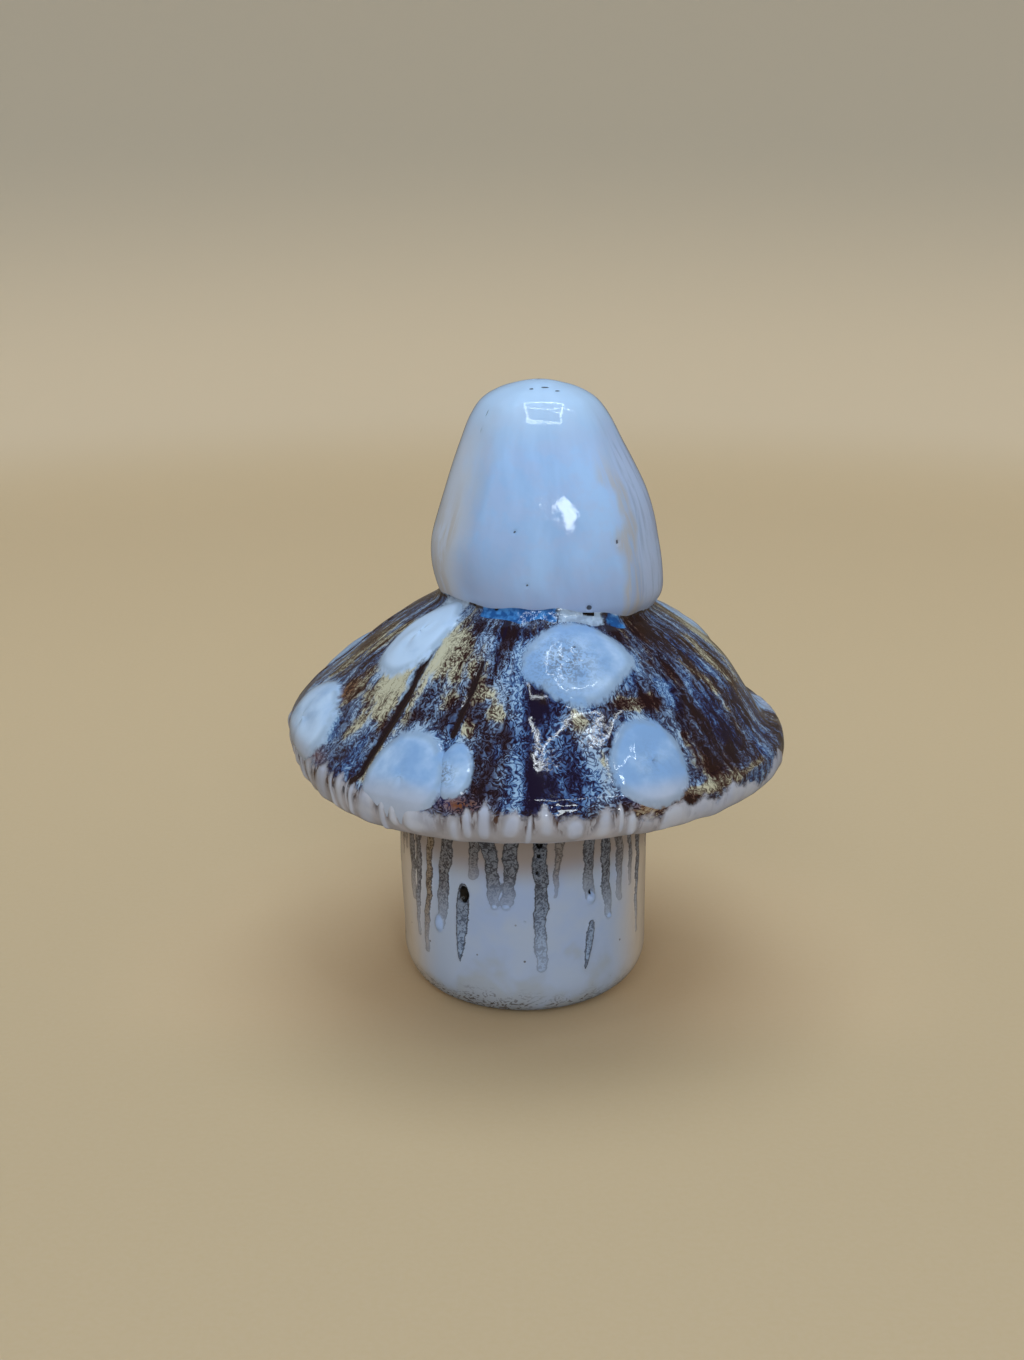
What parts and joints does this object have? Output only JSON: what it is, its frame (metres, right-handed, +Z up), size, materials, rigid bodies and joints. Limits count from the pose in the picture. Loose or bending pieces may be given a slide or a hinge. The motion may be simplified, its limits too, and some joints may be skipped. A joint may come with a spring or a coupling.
{
  "type": "ceramic mushroom ornament",
  "caption": "Free-standing glazed pottery mushroom: a hollow stem with a rounded foot, a wide spotted cap with a notched rim frill, and a smooth white dome luted to its crown.",
  "frame": {"origin": "middle of the flat foot, on the surface that the ornament stands on", "axes": "+Z up through the stem; -Y is the front seen in the picture, with +X to its right"},
  "size_m": [0.0958, 0.0958, 0.12],
  "materials": {
    "white_glaze": "thick glossy icy white glaze, pinholed, with fine cracks at the top",
    "cap_glaze": "glossy reactive glaze, dark brown broken by blue and cream streaks that run downhill",
    "frill_glaze": "satin white glaze, brown in the grooves",
    "neck_glaze": "pooled glossy dark blue glaze",
    "spot_glaze": "thick glossy white glaze with a pale blue edge",
    "stem_glaze": "semi-gloss off-white glaze with grey glaze runs",
    "bare_clay": "unglazed fired clay"
  },
  "bodies": {
    "root": {"base_slab": "stem_glaze", "base_seam_coil": "bare_clay", "stem_wall": "stem_glaze", "stem_collar_coil": "stem_glaze", "cap_bowl": "cap_glaze", "rim_frill": "frill_glaze", "neck_coil": "neck_glaze", "top_dome": "white_glaze", "spot_upper_left": "spot_glaze", "spot_left_edge": "spot_glaze", "spot_lower_left": "spot_glaze", "spot_lower_small": "spot_glaze", "spot_upper_centre": "spot_glaze", "spot_lower_right": "spot_glaze", "spot_right_edge": "spot_glaze", "spot_back_upper_right": "spot_glaze", "spot_back_right": "spot_glaze", "spot_back_centre": "spot_glaze", "spot_back_upper_left": "spot_glaze", "spot_back_left": "spot_glaze"}
  },
  "joints": []
}
